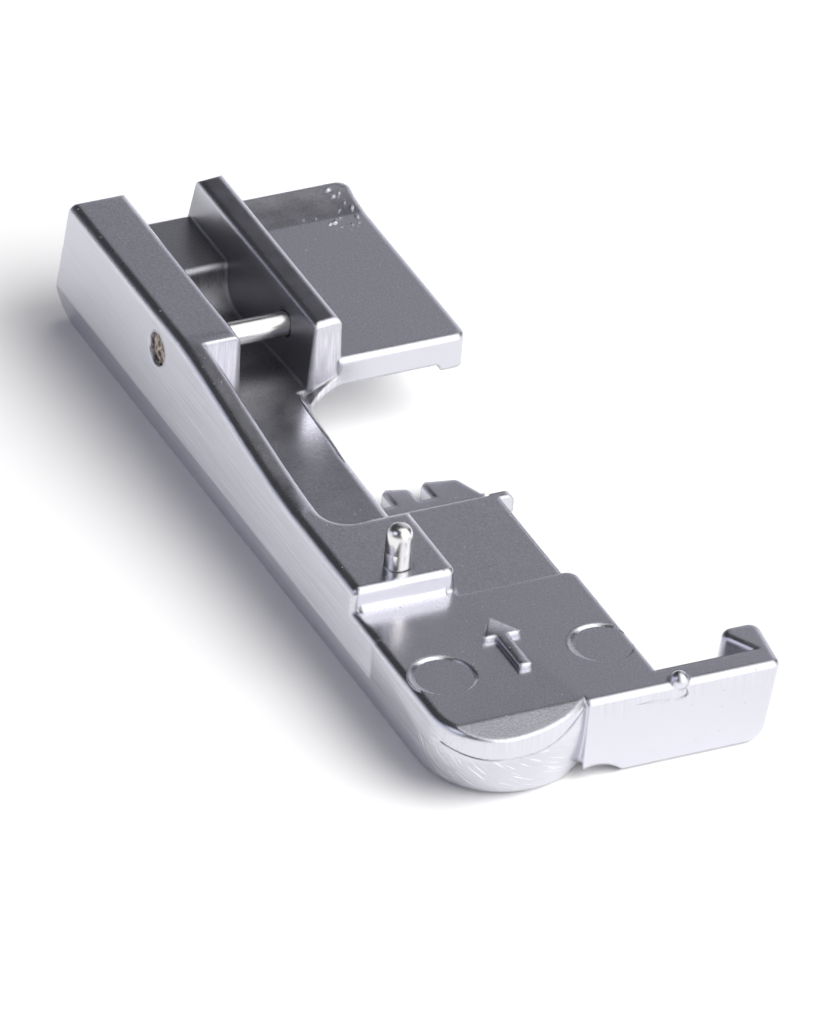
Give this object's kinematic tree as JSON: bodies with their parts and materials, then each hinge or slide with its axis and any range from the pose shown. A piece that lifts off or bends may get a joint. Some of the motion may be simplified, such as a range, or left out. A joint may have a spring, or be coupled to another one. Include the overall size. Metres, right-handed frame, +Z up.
{
  "type": "sewing machine presser foot",
  "caption": "Clip-on overlock presser foot: plated die-casting with a hinge pin between two ears, an open needle window, a guide pin and a stepped plate with a rounded toe.",
  "frame": {"origin": "on the sole, at the centre of the casting's bounding box", "axes": "+Z up from the sole, +Y towards the heel with the hinge pin, -Y towards the toe, +X to the operator's right, where the wing is"},
  "size_m": [0.0158, 0.0396, 0.007],
  "materials": {
    "casting": "satin nickel plate over a polished zinc die-casting",
    "pin_steel": "bright turned steel"
  },
  "bodies": {
    "root": {"foot_body": "casting", "hinge_pin": "pin_steel", "guide_pin": "pin_steel"}
  },
  "joints": []
}
